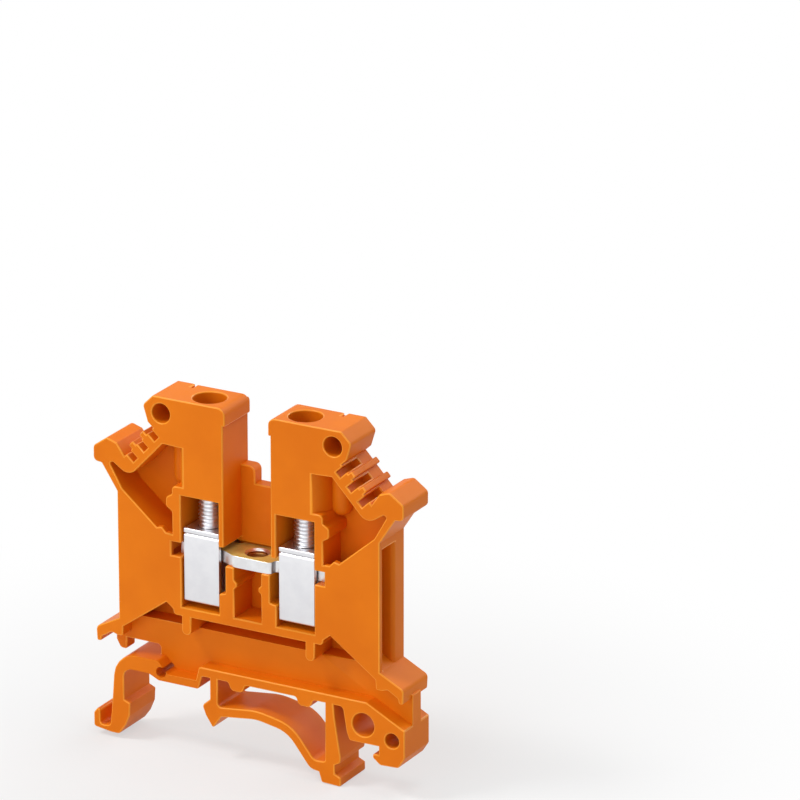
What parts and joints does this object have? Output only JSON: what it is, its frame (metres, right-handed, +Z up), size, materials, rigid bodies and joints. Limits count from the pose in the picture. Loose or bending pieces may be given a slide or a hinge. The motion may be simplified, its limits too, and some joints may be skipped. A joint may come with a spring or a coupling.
{
  "type": "feed-through terminal block",
  "caption": "Narrow open-sided terminal block that snaps onto a top-hat rail and joins wires through screw-driven clamp sleeves on a current bar.",
  "frame": {"origin": "middle of the rail's width, in the plane of the tops of the rail's lips, halfway through the block's width", "axes": "+X along the conductors towards the fixed foot, +Y along the rail away from the open front face, +Z up from the rail"},
  "size_m": [0.0438, 0.0062, 0.0459],
  "materials": {
    "orange_polyamide": "satin moulded",
    "plated_copper_alloy": "tin-plated, thread bare",
    "zinc_plated_strip": "bright zinc",
    "zinc_plated_screw": "bright zinc"
  },
  "bodies": {
    "housing": {"housing": "orange_polyamide", "current_bar": "plated_copper_alloy"},
    "sleeve_left": {"clamp_sleeve_left": "zinc_plated_strip"},
    "sleeve_right": {"clamp_sleeve_right": "zinc_plated_strip"},
    "screw_left": {"clamp_screw_left": "zinc_plated_screw"},
    "screw_right": {"clamp_screw_right": "zinc_plated_screw"}
  },
  "joints": [
    {"name": "screw_left_turn", "type": "hinge", "parent": "housing", "child": "screw_left", "pos_m": [-0.00715, -0.0003, 0.026], "axis": [0, 0, -1], "range_deg": [0, 2450]},
    {"name": "screw_right_turn", "type": "hinge", "parent": "housing", "child": "screw_right", "pos_m": [0.00615, -0.0003, 0.026], "axis": [0, 0, -1], "range_deg": [0, 2450]},
    {"name": "sleeve_left_lift", "type": "slide", "parent": "housing", "child": "sleeve_left", "axis": [0, 0, 1], "range_m": [0, 0.0034]},
    {"name": "sleeve_right_lift", "type": "slide", "parent": "housing", "child": "sleeve_right", "axis": [0, 0, 1], "range_m": [0, 0.0034]}
  ],
  "couplings": [
    {"joint": "screw_left_turn", "follows": "sleeve_left_lift", "rad_per_m": 12566},
    {"joint": "screw_right_turn", "follows": "sleeve_right_lift", "rad_per_m": 12566}
  ]
}
